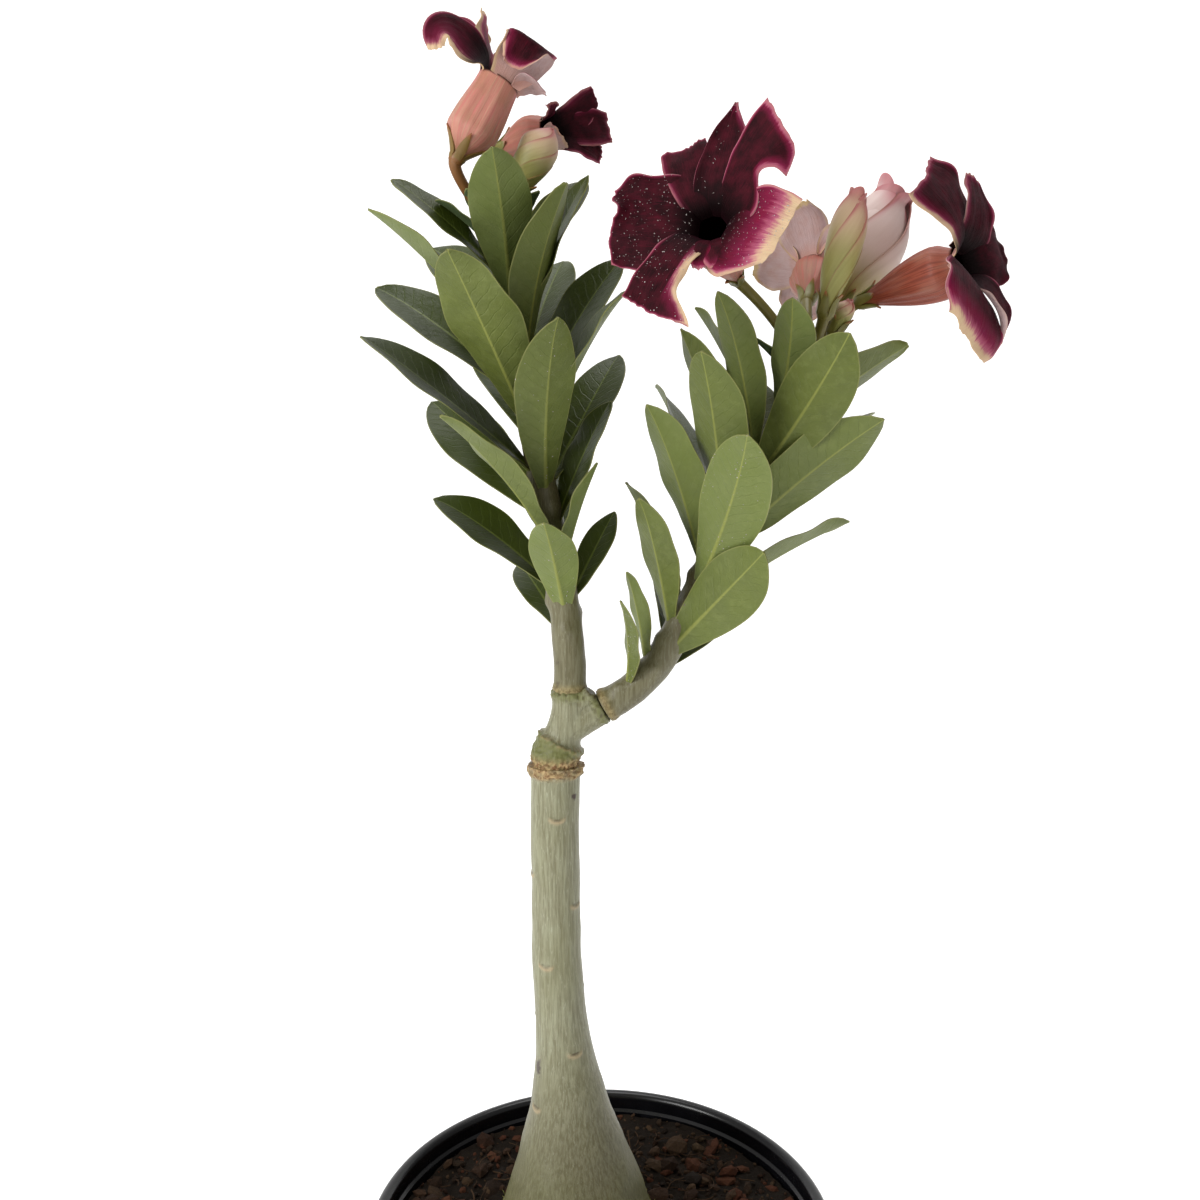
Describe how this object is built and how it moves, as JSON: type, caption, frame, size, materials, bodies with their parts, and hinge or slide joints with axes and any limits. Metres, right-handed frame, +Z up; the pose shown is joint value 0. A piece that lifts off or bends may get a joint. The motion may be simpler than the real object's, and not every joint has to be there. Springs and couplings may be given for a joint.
{
  "type": "potted desert rose",
  "caption": "Grafted desert rose with a swollen foot, leafy shoots, open blooms and buds, standing in potting mix in a tapered round nursery pot.",
  "frame": {"origin": "centre of the pot's underside", "axes": "+Z up along the pot's axis; +X towards the shoot with the most blooms; -Y is the side that shows best"},
  "size_m": [0.2467, 0.19, 0.619],
  "materials": {
    "black_plastic": "smooth moulded black plastic with a soft gloss",
    "potting_mix": "crumbly bark and peat potting mix",
    "bark": "smooth grey-green living bark with fine streaks and leaf scars",
    "leaf": "leathery leaf, dark green above and sage below",
    "petal": "velvety maroon petal with a pale margin",
    "bud": "soft folded petals, tan and pink"
  },
  "bodies": {
    "root": {"pot": "black_plastic", "soil": "potting_mix", "trunk": "bark", "left_shoot": "leaf", "right_shoot": "leaf", "bloom_front": "petal", "bloom_left": "petal", "bloom_left_back": "petal", "bloom_right": "petal", "bloom_back": "petal", "bud_left": "bud", "bud_tall": "bud", "bud_half_open": "bud", "bud_small": "bud"}
  },
  "joints": []
}
